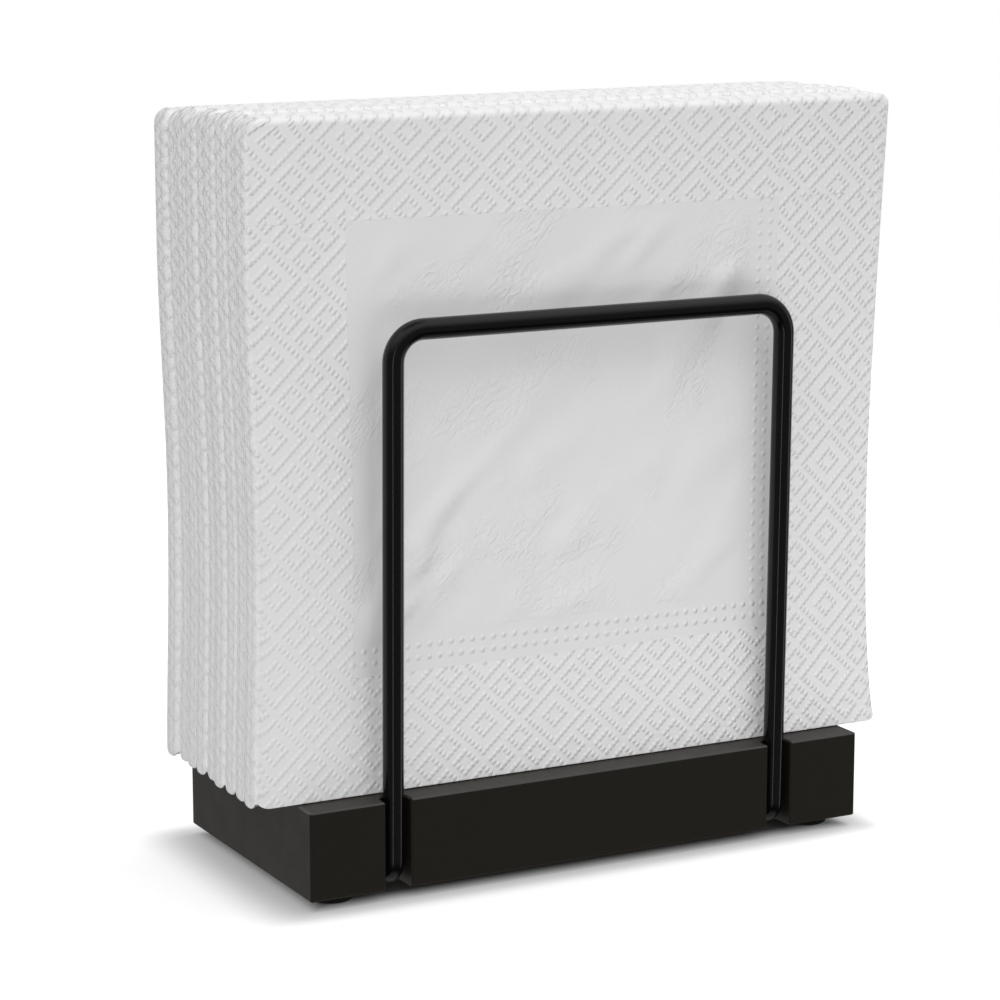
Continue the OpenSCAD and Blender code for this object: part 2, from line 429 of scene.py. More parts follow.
def make_softbox(name, place, aim, size, watts):
    """A soft light that is not itself seen, nor mirrored in the paint."""
    data = bpy.data.lights.new(f"{name}_softbox", "AREA")
    data.shape = "RECTANGLE"
    data.size, data.size_y = size
    data.energy = watts
    light = bpy.data.objects.new(f"{name}_softbox", data)
    light.location = place
    light.rotation_euler = (Vector(place) - Vector(aim)).to_track_quat("Z", "Y").to_euler()
    light.visible_glossy = False
    light.visible_camera = False
    bpy.context.scene.collection.objects.link(light)
    return light


def make_floor(material):
    """A pale floor that only the camera sees, so that it throws no light back from below."""
    half = FLOOR_HALF
    mesh = bpy.data.meshes.new("floor")
    corners = [(-half, -half, 0), (half, -half, 0), (half, half, 0), (-half, half, 0)]
    mesh.from_pydata(corners, [], [(0, 1, 2, 3)])
    mesh.materials.append(material)
    floor = bpy.data.objects.new("floor", mesh)
    floor.visible_diffuse = False
    floor.visible_glossy = False
    floor.visible_shadow = False
    bpy.context.scene.collection.objects.link(floor)


def make_world():
    """White behind the object. For the light that falls on it, a room with a dark band at eye level
    and a few bright strips, which give the rods their streaks."""
    world = bpy.data.worlds.new("studio")
    bpy.context.scene.world = world
    world.use_nodes = True
    tree = world.node_tree
    tree.nodes.clear()
    way = result(tree, "ShaderNodeTexCoord", output="Generated")
    parts = add_node(tree, "ShaderNodeSeparateXYZ", {"Vector": way})
    east, north, up = (Wire(tree, socket) for socket in parts.outputs)
    level = (east * east + north * north).most(1e-6).sqrt()
    above = up.ramp(*SKY_EDGE)
    below = 1.0 - up.ramp(*GROUND_EDGE)
    band = (1.0 - above) * (1.0 - below)
    lean = 1.0 + (east * BRIGHT_SIDE[0] + north * BRIGHT_SIDE[1]) * SKY_LEAN
    around = BAND_LIGHT * band
    for side, narrow, strength in STRIPS:
        facing = (east * math.sin(math.radians(side)) - north * math.cos(math.radians(side))) / level
        around = around + facing.most(0.0).power(narrow) * band * strength
    room = around + SKY_LIGHT * above * lean + GROUND_LIGHT * below * lean

    # The gloss of rods and paint sees a lamp overhead, and the ground only straight below
    lamp = up.ramp(LAMP_EDGE, LAMP_HEIGHT).power(LAMP_SHAPE) - up.ramp(LAMP_HEIGHT, 1.0) * LAMP_HOLLOW
    straight_below = 1.0 - up.ramp(*MIRRORED_GROUND_EDGE)
    reflected = around + lamp * LAMP_LIGHT + straight_below * GROUND_LIGHT
    glossy = result(tree, "ShaderNodeLightPath", output="Is Glossy Ray")
    seen = result(tree, "ShaderNodeLightPath", output="Is Camera Ray")
    strength = room + glossy * (reflected - room)
    strength = strength + seen * (1.0 - strength)
    sky = add_node(tree, "ShaderNodeBackground", {"Color": (1, 1, 1, 1), "Strength": strength})
    end = add_node(tree, "ShaderNodeOutputWorld")
    tree.links.new(sky.outputs[0], end.inputs["Surface"])


# Materials
def new_material(name):
    """A material with a Principled shader. Returns it, its tree and the shader."""
    material = bpy.data.materials.new(name)
    material.use_nodes = True
    tree = material.node_tree
    return material, tree, tree.nodes["Principled BSDF"]


def object_place(tree):
    return result(tree, "ShaderNodeTexCoord", output="Object")


def scaled(tree, place, x, y, z):
    """The place with each axis stretched, for grain that runs along one of them."""
    return result(tree, "ShaderNodeMapping", {"Vector": place, "Scale": (x, y, z)})


def noise(tree, place, scale, detail=3.0, roughness=0.55):
    return result(tree, "ShaderNodeTexNoise", {
        "Vector": place,
        "Scale": scale,
        "Detail": detail,
        "Roughness": roughness,
    })


def grey(level):
    return (level, level, level)


def blend_colour(tree, share, low, high):
    """A colour between two others."""
    node = add_node(tree, "ShaderNodeMix", data_type="RGBA")
    feed(tree, node.inputs[0], share)
    for socket, colour in ((node.inputs[6], low), (node.inputs[7], high)):
        feed(tree, socket, colour if isinstance(colour, Wire) else (*colour, 1))
    return Wire(tree, node.outputs[2])


def bump(tree, height, strength, distance):
    return result(tree, "ShaderNodeBump", {"Height": height, "Strength": strength, "Distance": distance})


def floor_material(low_corner, high_corner):
    """Pale and a little bright of its own, with a painted shadow under the block and beside it."""
    material, tree, shader = new_material("pale_floor_painted_shadow")
    place = object_place(tree)
    tint = noise(tree, place, 3.0)
    shader.inputs["Roughness"].default_value = 0.9
    shader.inputs["Specular IOR Level"].default_value = 0.0
    parts = add_node(tree, "ShaderNodeSeparateXYZ", {"Vector": place})
    x, y = (Wire(tree, socket) for socket in parts.outputs[:2])
    left = low_corner[0] - x
    right = x - high_corner[0]
    front = low_corner[1] - y
    back = y - high_corner[1]
    # Painted shadow: colour and glow darken under the block and fade back beside it, furthest to the
    # left
    beside = (left / SHADE_LEFT).most(right / SHADE_AROUND).most(0.0)
    before = front.most(back).most(0.0) / SHADE_AROUND
    outside = left.most(right).most(front).most(back)
    clear = outside.ramp(-SHADE_UNDER, SHADE_EDGE)
    fade = (beside * beside + before * before).sqrt().ramp(0.0, 1.0)
    glow = clear * (SHADE_LEFT_OVER + fade * (1 - SHADE_LEFT_OVER))
    pale = clear * (0.97 + tint * 0.03)
    feed(tree, shader.inputs["Base Color"], blend_colour(tree, pale, grey(0.4), grey(0.95)))
    feed(tree, shader.inputs["Emission Color"], blend_colour(tree, glow, grey(0), grey(1)))
    shader.inputs["Emission Strength"].default_value = FLOOR_GLOW
    return material


def paint_speckle_group():
    """Fine unevenness of a sprayed coat: a tint to blend colours by, a roughness and a height."""
    tree, given, end = group_tree(
        "paint_speckle",
        "ShaderNodeTree",
        {"Place": "NodeSocketVector", "Grain": "NodeSocketFloat", "Base Roughness": "NodeSocketFloat"},
        {"Tint": "NodeSocketFloat", "Roughness": "NodeSocketFloat", "Height": "NodeSocketFloat"},
    )
    fine = noise(tree, given["Place"], given["Grain"], detail=2.0)
    broad = noise(tree, given["Place"], given["Grain"] * 0.08, detail=2.0)
    feed(tree, end.inputs["Tint"], fine * 0.6 + broad * 0.4)
    unevenness = (broad - 0.5) * 0.12 + (fine - 0.5) * 0.08
    feed(tree, end.inputs["Roughness"], given["Base Roughness"] + unevenness)
    feed(tree, end.inputs["Height"], fine)
    return tree


def place_group(tree, group, inputs):
    """Puts a node group in a material and gives its results by name."""
    node = tree.nodes.new("ShaderNodeGroup")
    node.node_tree = group
    for name, value in inputs.items():
        feed(tree, node.inputs[name], value)
    return {socket.name: Wire(tree, socket) for socket in node.outputs}


def painted(name, speckle, grain, low, high, roughness, specular, relief):
    """A painted or moulded surface with a fine grain."""
    material, tree, shader = new_material(name)
    coat = place_group(tree, speckle, {
        "Place": object_place(tree),
        "Grain": grain,
        "Base Roughness": roughness,
    })
    feed(tree, shader.inputs["Base Color"], blend_colour(tree, coat["Tint"], low, high))
    feed(tree, shader.inputs["Roughness"], coat["Roughness"])
    feed(tree, shader.inputs["Normal"], bump(tree, coat["Height"], relief, PAINT_DEPTH))
    shader.inputs["Specular IOR Level"].default_value = specular
    return material


def painted_wood(speckle, high_corner):
    """Black satin paint, some of the wood's grain under it, and upper edges with a thin painted
    highlight.
    """
    material, tree, shader = new_material("black_painted_wood")
    place = object_place(tree)
    coat = place_group(tree, speckle, {"Place": place, "Grain": 1800.0, "Base Roughness": 0.5})
    fibres = noise(tree, scaled(tree, place, 60, 900, 900), 1.0, detail=4.0)
    tint = coat["Tint"] * 0.6 + fibres * 0.4

    # How far a point lies inside the block's sides and below its top: at an upper edge the sum is small
    parts = add_node(tree, "ShaderNodeSeparateXYZ", {"Vector": place})
    x, y, z = (Wire(tree, socket) for socket in parts.outputs)
    from_side = (high_corner[0] - abs(x)).least(high_corner[1] - abs(y))
    from_edge = from_side + (high_corner[2] - z)
    # Painted highlight: a lighter, glossier line along the upper edges, as if the chamfer caught the
    # light
    painted_edge_highlight = (1.0 - from_edge.ramp(*PAINTED_EDGE_HIGHLIGHT_RUN)) * (0.5 + fibres)
    body = blend_colour(tree, tint, (0.0244, 0.0205, 0.0135), (0.0268, 0.0219, 0.0143))
    feed(tree, shader.inputs["Base Color"], blend_colour(tree, painted_edge_highlight, body, (0.1, 0.098, 0.092)))
    feed(tree, shader.inputs["Roughness"], coat["Roughness"] + (fibres - 0.5) * 0.03 - painted_edge_highlight * 0.15)
    height = coat["Height"] * 0.5 + fibres * 0.5
    feed(tree, shader.inputs["Normal"], bump(tree, height, 0.2, PAINT_DEPTH))
    shader.inputs["Specular IOR Level"].default_value = 0.35
    return material


def from_nearest(along, step):
    """How far a place lies from the nearest of a row of steps."""
    return (along + step / 2) % step - step / 2


def line_dots(around, down):
    """Height of the double dotted lines along the far sides of the smooth panel, from 0 to 1."""
    half = LINE_GAP / 2
    far_around = LINE_AROUND + LINE_GAP + half
    far_down = LINE_DOWN + LINE_GAP + half
    on_low = bell(
        from_nearest(around - PANEL_AROUND[0], LINE_STEP),
        from_nearest(down - LINE_DOWN, LINE_GAP),
    )
    on_low = on_low * (down > LINE_DOWN - half) * (around > PANEL_AROUND[0] - half)
    on_side = bell(
        from_nearest(around - LINE_AROUND, LINE_GAP),
        from_nearest(down - PANEL_DOWN[0], LINE_STEP),
    )
    on_side = on_side * (around > LINE_AROUND - half) * (down > PANEL_DOWN[0] - half)
    return on_low.most(on_side * LINE_WEAR) * (around < far_around) * (down < far_down)


def in_zone(zone, around, down):
    """1 for a place in one of the pressed zones, 0 elsewhere."""
    beside = (around > zone["around"][0]) * (around < zone["around"][1])
    return beside * (down > zone["down"][0]) * (down < zone["down"][1])


def embossing(around, down, shift):
    """Height of the embossing at a place on the flat sheet, from 0 to 1."""
    across = 0.0
    up = 0.0
    for zone in PRESSED_ZONES:
        inside = in_zone(zone, around, down)
        diamond_around, diamond_down = zone["diamond"]
        across = across + inside * (around - diamond_around) / DOT_STEP_AROUND
        up = up + inside * (shift - down + diamond_down) / (DOT_STEP_DOWN * zone["drawn_out"])
    height = line_dots(abs(around), down)
    embossed = outside_panel(abs(around), down)
    for right in (0, 1):
        for above in (0, 1):
            dot_across = across.floor() + right
            dot_up = up.floor() + above
            shape = bell((across - dot_across) * DOT_STEP_AROUND, (dot_up - up) * DOT_STEP_DOWN)
            height = (shape * kept_dot(dot_across, dot_up) * embossed).most(height)
    return height


def crinkles(tree, around, down):
    """Fine slanting creases of the smooth panel, in patches, from 0 to 1."""
    along = around - down
    across = around + down
    fine = vector(tree, along * CRINKLE_WAVES[0], across * CRINKLE_WAVES[1], 0.0)
    broad = vector(tree, along * PATCH_WAVES[0], across * PATCH_WAVES[1], 5.0)
    ridge = abs(noise(tree, fine, 1.0, detail=3.0) - 0.5)
    patch = noise(tree, broad, 1.0, detail=2.0).ramp(*PATCH_EDGE)
    inside = (1.0 - outside_panel(abs(around), down)) * (abs(around) < LINE_AROUND - LINE_GAP)
    inside = inside * (down < LINE_DOWN - LINE_GAP)
    return (1.0 - (ridge * CRINKLE_SHARPNESS).least(1.0)) * patch * inside


def painted_crease_shade(tree, place, around):
    """Painted shade along thin crease lines that wander down the side fold, from 0 to 1."""
    waves = noise(tree, scaled(tree, place, *CREASE_WAVES), 1.0, detail=2.0)
    wander = (waves - 0.5) * CREASE_WANDER
    lines = [1.0 - abs(around - middle - wander) / CREASE_WIDTH for middle in CREASE_PLACES]
    return lines[0].most(lines[1]).most(0.0)


def tissue(name):
    """White tissue: loose fibres, painted shade and highlight, crinkles in the smooth panel, and the
    embossing's shading.
    """
    material, tree, shader = new_material(name)
    place = object_place(tree)
    fibres = noise(tree, place, 1400.0, detail=4.0, roughness=0.65)
    cloud = noise(tree, place, 60.0, detail=2.0)
    tint = fibres * 0.5 + cloud * 0.5
    feed(tree, shader.inputs["Roughness"], 0.85 + (fibres - 0.5) * 0.1)
    sheet = result(tree, "ShaderNodeAttribute", attribute_name="sheet_place", output="Vector")
    parts = add_node(tree, "ShaderNodeSeparateXYZ", {"Vector": sheet})
    around = Wire(tree, parts.outputs["X"])
    down = abs(Wire(tree, parts.outputs["Y"]))
    shift = Wire(tree, parts.outputs["Z"])

    # Colour: greyer in the smooth panel, a painted highlight on the crest, and painted shade along
    # crease lines and in small spots of the side fold
    white = blend_colour(tree, tint, grey(DULL_WHITE), grey(BRIGHT_WHITE))
    smooth = 1.0 - outside_panel(abs(around), down)
    white = blend_colour(tree, smooth * PANEL_GREY, white, grey(PANEL_WHITE))
    # Painted highlight: the crest of each top fold is whiter, as if it caught more light
    crest = (1.0 - down.ramp(*CREST_HIGHLIGHT_RUN)) * CREST_HIGHLIGHT_STRENGTH
    white = blend_colour(tree, crest, white, grey(CREST_HIGHLIGHT_WHITE))
    # Painted shade: crease lines and small spots darken the side fold, for the shade of its folds and
    # bumps
    painted_spot_shade = noise(tree, place, SPECK_GRAIN, detail=1.0).ramp(*SPECK_EDGE)
    painted_spot_shade = painted_spot_shade * (1.0 - abs(around).ramp(*SIDE_SHADING_RUN))
    shaded = (painted_crease_shade(tree, place, around) * CREASE_SHADE).most(painted_spot_shade * SPECK_SHADE)
    colour = blend_colour(tree, shaded, white, grey(PAINTED_SIDE_SHADE_GREY))
    feed(tree, shader.inputs["Base Color"], colour)

    # Relief: the embossing is deeper at the folds and on the right, and worn low on the left
    side = abs(around).ramp(*SIDE_SHADING_RUN) * (1 - SIDE_SHADING) + SIDE_SHADING
    top = down.ramp(*TOP_SHADING_RUN) * (1 - TOP_SHADING) + TOP_SHADING
    low_left = down.ramp(*LOW_WEAR_DOWN) * (1.0 - abs(around).ramp(*LOW_WEAR_AROUND))
    fresh = 1.0 + abs(around).ramp(*FRESH_AROUND) * FRESH_GAIN
    left_over = side * top * fresh * (1.0 - low_left * LOW_WEAR)
    pressed = embossing(around, down, shift) * left_over * EMBOSSED_DEPTH
    relief = fibres * FIBRE_DEPTH + crinkles(tree, around, down) * CRINKLE_DEPTH + pressed
    feed(tree, shader.inputs["Normal"], bump(tree, relief / MM, 1.0, 1.0 * MM))
    shader.inputs["Specular IOR Level"].default_value = 0.15
    return material


# Napkins
def corner_drop(side, radius):
    """How far a rounded corner takes one edge in, this far from the corner's other edge."""
    nearness = (radius - side).within(0.0, radius * CORNER_STOP)
    return radius - (radius * radius - nearness * nearness).sqrt()


FOLD_INPUTS = {
    "Low Corner": "NodeSocketVector",
    "Size": "NodeSocketVector",
    "Wrinkle": "NodeSocketFloat",
    "Face": "NodeSocketFloat",
    "Seed": "NodeSocketFloat",
    "Fold Corner": "NodeSocketFloat",
    "Droop": "NodeSocketFloat",
}


def fold_group():
    """Takes a place on the flat sheet to its place on the folded napkin.

    Around runs across the sheet from the side fold, forwards to the front. Down runs from the
    top fold, forwards to the outer leaf. Rise lifts a point off the paper.
    """
    tree, given, end = group_tree(
        "fold_napkin",
        "GeometryNodeTree",
        {
            "Around": "NodeSocketFloat",
            "Down": "NodeSocketFloat",
            "Rise": "NodeSocketFloat",
            **FOLD_INPUTS,
        },
        {"Place": "NodeSocketVector"},
    )
    low = add_node(tree, "ShaderNodeSeparateXYZ", {"Vector": given["Low Corner"]})
    size = add_node(tree, "ShaderNodeSeparateXYZ", {"Vector": given["Size"]})
    low_x, low_y, low_z = (Wire(tree, socket) for socket in low.outputs)
    width, thickness, height = (Wire(tree, socket) for socket in size.outputs)
    around = given["Around"]
    down = given["Down"]

    # The top fold sets how far a leaf lies from the middle of its pair, and its height
    fold_r = LEAF_STEP / 2
    bend = (down / fold_r).within(-math.pi / 2, math.pi / 2)
    hang = (abs(down) - fold_r * math.pi / 2).most(0.0)
    inner = (bend.sin() * -1.0).most(0.0)
    offset = bend.sin() * (fold_r + given["Rise"]) - inner * hang.ramp(0.0, SPREAD_RUN) * LEAF_SPREAD
    z = height - fold_r + bend.cos() * (fold_r + given["Rise"]) - hang

    # The side fold turns the pair of leaves from the front to the rear
    middle_r = thickness / 2 - fold_r
    turn = (around / middle_r).within(-math.pi / 2, math.pi / 2)
    reach = middle_r + offset
    run = (abs(around) - middle_r * (math.pi / 2)).most(0.0)
    x = (thickness / 2 - turn.cos().most(0.0).power(SIDE_FOLD_SHAPE) * reach) * SIDE_FOLD_DEPTH + run
    inwards = 0.5 - bend.sin() * 0.5
    x = x + inwards * INNER_INSET * (1.0 - x / width)
    y = turn.sin() * reach * -1.0

    # Rounded corners: the columns near the open side are shorter, and the side fold ends in a tab
    open_drop = corner_drop(width - x, OPEN_CORNER)
    tab = turn.sin().power(TAB_SQUARENESS) * (1.0 - run / TAB_RUN).most(0.0).power(2.0)
    low_drop = tab * TAB_RISE + open_drop
    z = z * (1.0 - (open_drop + low_drop) / height) + low_drop

    # At its upper end the side fold gives way to a round corner, and there the whole leaf may droop
    inset = corner_drop(height - z, given["Fold Corner"])
    x = x + inset * (1.0 - x / CORNER_RUN).most(0.0)
    z = z * (1.0 - given["Droop"] * (1.0 - x / width) / height)

    # Both sides are drawn in above the block
    share = (z / height).within(0.0, 1.0)
    open_pinch = (share.power(PINCH_SHAPE) * math.pi).sin()
    fold_pinch = ((share / FOLD_PINCH_HEIGHT).least(1.0) * math.pi).sin().most(0.0)
    fold_pinch = fold_pinch.power(FOLD_PINCH_SHAPE)
    across = x / width
    open_pinch = open_pinch * across.power(OPEN_PINCH_FADE)
    x = x + fold_pinch * (1.0 - across) * FOLD_PINCH - open_pinch * OPEN_PINCH

    # Soft slanting wrinkles on the leaf that shows
    along = around * WRINKLE_WAVES[0] + down * -WRINKLE_WAVES[0]
    crossing = around * WRINKLE_WAVES[1] + down * WRINKLE_WAVES[1]
    slant = vector(tree, along, crossing, given["Seed"])
    ripple = result(tree, "ShaderNodeTexNoise", {
        "Vector": slant,
        "Scale": 1.0,
        "Detail": 2.0,
        "Distortion": WRINKLE_UNEVENNESS,
    })
    fold_line = abs(ripple - 0.5).least(FOLDED_LINE_WIDTH) * FOLDED_LINE_HEIGHT
    panel = abs(around).ramp(PANEL_AROUND[0], PANEL_AROUND[0] + WRINKLE_EDGE)
    panel = panel * (1.0 - abs(around).ramp(LINE_AROUND - WRINKLE_EDGE, LINE_AROUND))
    panel = panel * down.ramp(PANEL_DOWN[0], PANEL_DOWN[0] + WRINKLE_EDGE)
    panel = panel * (1.0 - down.ramp(LINE_DOWN - WRINKLE_EDGE, LINE_DOWN))
    low_left = down.ramp(*LOW_WRINKLES_DOWN) * (1.0 - around.ramp(*LOW_WRINKLES_AROUND))
    high_right = around.ramp(*HIGH_WRINKLES_AROUND) * (1.0 - down.ramp(*HIGH_WRINKLES_DOWN))
    zone = (low_left + high_right).least(1.0) * (1 - WRINKLES_LEFT) + WRINKLES_LEFT
    shown = (turn.sin() * given["Face"]).most(0.0)
    swell = ((ripple - 0.5) + fold_line) * given["Wrinkle"] * shown * panel * zone
    edge = (1.0 - (1.0 - across) * width / EDGE_RUN).within(0.0, 1.0)
    y = y - swell * given["Face"] - edge * edge * (1.0 - shown) * EDGE_TURN

    place = vector(tree, low_x + x, low_y + thickness / 2 + y, low_z + z)
    feed(tree, end.inputs["Place"], place)
    return tree


# How much closer the rows of the sheet's grid are at the side fold and at the top fold, up to 1
SIDE_CLOSENESS = 0.92
TOP_CLOSENESS = 0.85
# The grid of the front napkin's sheet and of the others: its rows, and the share of them on the rear
# leaves and on the inner leaves
FRONT_GRID = {"Rows": 201, "Rear Share": 0.25, "Inner Share": 0.25}
OTHER_GRID = {"Rows": 121, "Rear Share": 0.5, "Inner Share": 0.4}
# How far apart the napkins are in the noise that wrinkles them
SEED_STEP = 3.7

NAPKIN_INPUTS = {
    **FOLD_INPUTS,
    "Pattern Shift": "NodeSocketFloat",
    "Material": "NodeSocketMaterial",
}


def flat_halves(width, thickness, height):
    """Half the flat sheet's width and height, from the folded napkin's size."""
    fold_r = LEAF_STEP / 2
    middle_r = thickness / 2 - fold_r
    half_width = width - thickness * (SIDE_FOLD_DEPTH / 2) + middle_r * (math.pi / 2)
    half_height = height + fold_r * (math.pi / 2 - 1)
    return half_width, half_height


def sheet_halves(tree, size):
    """The same for a size in a node tree."""
    split = add_node(tree, "ShaderNodeSeparateXYZ", {"Vector": size})
    return flat_halves(*(Wire(tree, socket) for socket in split.outputs))


def place_fold(tree, fold, given, around, down, rise):
    """Uses the fold group, and gives the place on the folded napkin."""
    node = add_node(tree, "GeometryNodeGroup", {}, node_tree=fold)
    inputs = {"Around": around, "Down": down, "Rise": rise}
    inputs.update({name: given[name] for name in FOLD_INPUTS})
    for name, value in inputs.items():
        feed(tree, node.inputs[name], value)
    return Wire(tree, node.outputs["Place"])


def finish_tree(tree, end, mesh, material):
    """Smooth shading and the material, at the end of a tree."""
    real = result(tree, "GeometryNodeRealizeInstances", {"Geometry": mesh})
    smooth = result(tree, "GeometryNodeSetShadeSmooth", {"Geometry": real})
    dressed = result(tree, "GeometryNodeSetMaterial", {"Geometry": smooth, "Material": material})
    feed(tree, end.inputs["Geometry"], dressed)


def two_sided(along, share):
    """From 0 to 1 along the grid to -1 to 1 over the sheet, with a share of the rows below 0."""
    before = along / share - 1.0
    after = (along - share) / (1.0 - share)
    return before.least(0.0) + after.most(0.0)


def store_place(tree, mesh, place):
    """Keeps the place on the flat sheet with each point, for the material to read."""
    return result(tree, "GeometryNodeStoreNamedAttribute", {
        "Geometry": mesh,
        "Name": "sheet_place",
        "Value": place,
    }, data_type="FLOAT_VECTOR", domain="POINT")


def point_place(tree):
    """The X, Y and Z of each point."""
    place = result(tree, "GeometryNodeInputPosition")
    parts = add_node(tree, "ShaderNodeSeparateXYZ", {"Vector": place})
    return [Wire(tree, socket) for socket in parts.outputs]


def folded_sheet_tree(fold):
    """The whole sheet of a napkin as a grid, with closer rows at its folds and edges."""
    inputs = {
        **NAPKIN_INPUTS,
        "Rows": "NodeSocketInt",
        "Rear Share": "NodeSocketFloat",
        "Inner Share": "NodeSocketFloat",
    }
    outputs = {"Geometry": "NodeSocketGeometry"}
    tree, given, end = group_tree("folded_sheet", "GeometryNodeTree", inputs, outputs)
    grid = add_node(tree, "GeometryNodeMeshGrid", {
        "Size X": 1.0,
        "Size Y": 1.0,
        "Vertices X": given["Rows"],
        "Vertices Y": given["Rows"],
    })
    along_grid, down_grid, _ = point_place(tree)
    half_width, half_height = sheet_halves(tree, given["Size"])
    u = two_sided(along_grid + 0.5, given["Rear Share"])
    v = two_sided(down_grid + 0.5, given["Inner Share"])
    around = (u - (u * 2 * math.pi).sin() * (SIDE_CLOSENESS / 2 / math.pi)) * half_width
    down = (v - (v * 2 * math.pi).sin() * (TOP_CLOSENESS / 2 / math.pi)) * half_height
    place = place_fold(tree, fold, given, around, down, 0.0)
    flat_place = vector(tree, around, down, given["Pattern Shift"])
    stored = store_place(tree, Wire(tree, grid.outputs["Mesh"]), flat_place)
    moved = result(tree, "GeometryNodeSetPosition", {"Geometry": stored, "Position": place})
    finish_tree(tree, end, moved, given["Material"])
    return tree


def kept_dot(across, up):
    """Whether the embossing has a dot at a step of its lattice: 1 or 0.

    Across and up count half steps. Turned by 45 degrees they make cells of ten by ten steps. Every
    other cell is a ring of nine by nine dots round a ring of four by four, the rest hold four
    rings of four by four.
    """
    cell = 10
    big_half = 4
    small_half = 1.5
    safe = 0.05
    close = 0.25
    rising = (across + up) * 0.5 + (big_half + safe)
    falling = (across - up) * 0.5 + (big_half + safe)
    odd = ((rising / cell).floor() + (falling / cell).floor()) % 2
    big_rising = abs(rising % cell - (big_half + safe))
    big_falling = abs(falling % cell - (big_half + safe))
    big = big_rising.most(big_falling)
    small_rising = abs(rising % (cell / 2) - (small_half + safe))
    small_falling = abs(falling % (cell / 2) - (small_half + safe))
    small = small_rising.most(small_falling)
    ring = (abs(big - big_half) < close) + (abs(big - small_half) < close)
    four_rings = abs(small - small_half) < close
    return ring * (1.0 - odd) + four_rings * odd


def outside_panel(around, down):
    """1 where the sheet is embossed all over, 0 in its smooth panel."""
    inside = (around > PANEL_AROUND[0]) * (around < PANEL_AROUND[1])
    inside = inside * (down > PANEL_DOWN[0]) * (down < PANEL_DOWN[1])
    return 1.0 - inside


def dotted_line(tree, count_around, count_down):
    """Points of the double dotted line along one far side of the panel."""
    length_around = LINE_GAP
    length_down = LINE_GAP
    if count_around > 2:
        length_around = LINE_AROUND + LINE_GAP - PANEL_AROUND[0]
    if count_down > 2:
        length_down = LINE_DOWN + LINE_GAP - PANEL_DOWN[0]
    grid = add_node(tree, "GeometryNodeMeshGrid", {
        "Size X": length_around,
        "Size Y": length_down,
        "Vertices X": count_around,
        "Vertices Y": count_down,
    })
    middle = (
        LINE_AROUND + LINE_GAP - length_around / 2,
        LINE_DOWN + LINE_GAP - length_down / 2,
        0,
    )
    return result(tree, "GeometryNodeTransform", {
        "Geometry": Wire(tree, grid.outputs["Mesh"]),
        "Translation": middle,
    })


def bell(x, y):
    """Height of a dot beside its middle, from 0 to 1: a soft bell, drawn out along the slant."""
    along = (x - y) * (math.sqrt(0.5) / DOT_STRETCH)
    across = (x + y) * (math.sqrt(0.5) * DOT_STRETCH)
    radius = (along * along + across * across).sqrt().least(DOT_RADIUS)
    return (radius * (math.pi / DOT_RADIUS)).cos() * 0.5 + 0.5


def raised_dot(tree):
    """One raised dot: a soft bell of a few faces."""
    cone = add_node(tree, "GeometryNodeMeshCone", {
        "Vertices": DOT_SIDES,
        "Side Segments": DOT_STEPS,
        "Radius Top": 0.0,
        "Radius Bottom": DOT_RADIUS,
        "Depth": DOT_HEIGHT,
    })
    x, y, _ = point_place(tree)
    own = (DOT_STRETCH + 1 / DOT_STRETCH) / 2
    other = (DOT_STRETCH - 1 / DOT_STRETCH) / 2
    x, y = x * own - y * other, y * own - x * other
    return result(tree, "GeometryNodeSetPosition", {
        "Geometry": Wire(tree, cone.outputs["Mesh"]),
        "Position": vector(tree, x, y, bell(x, y) * DOT_HEIGHT),
    })


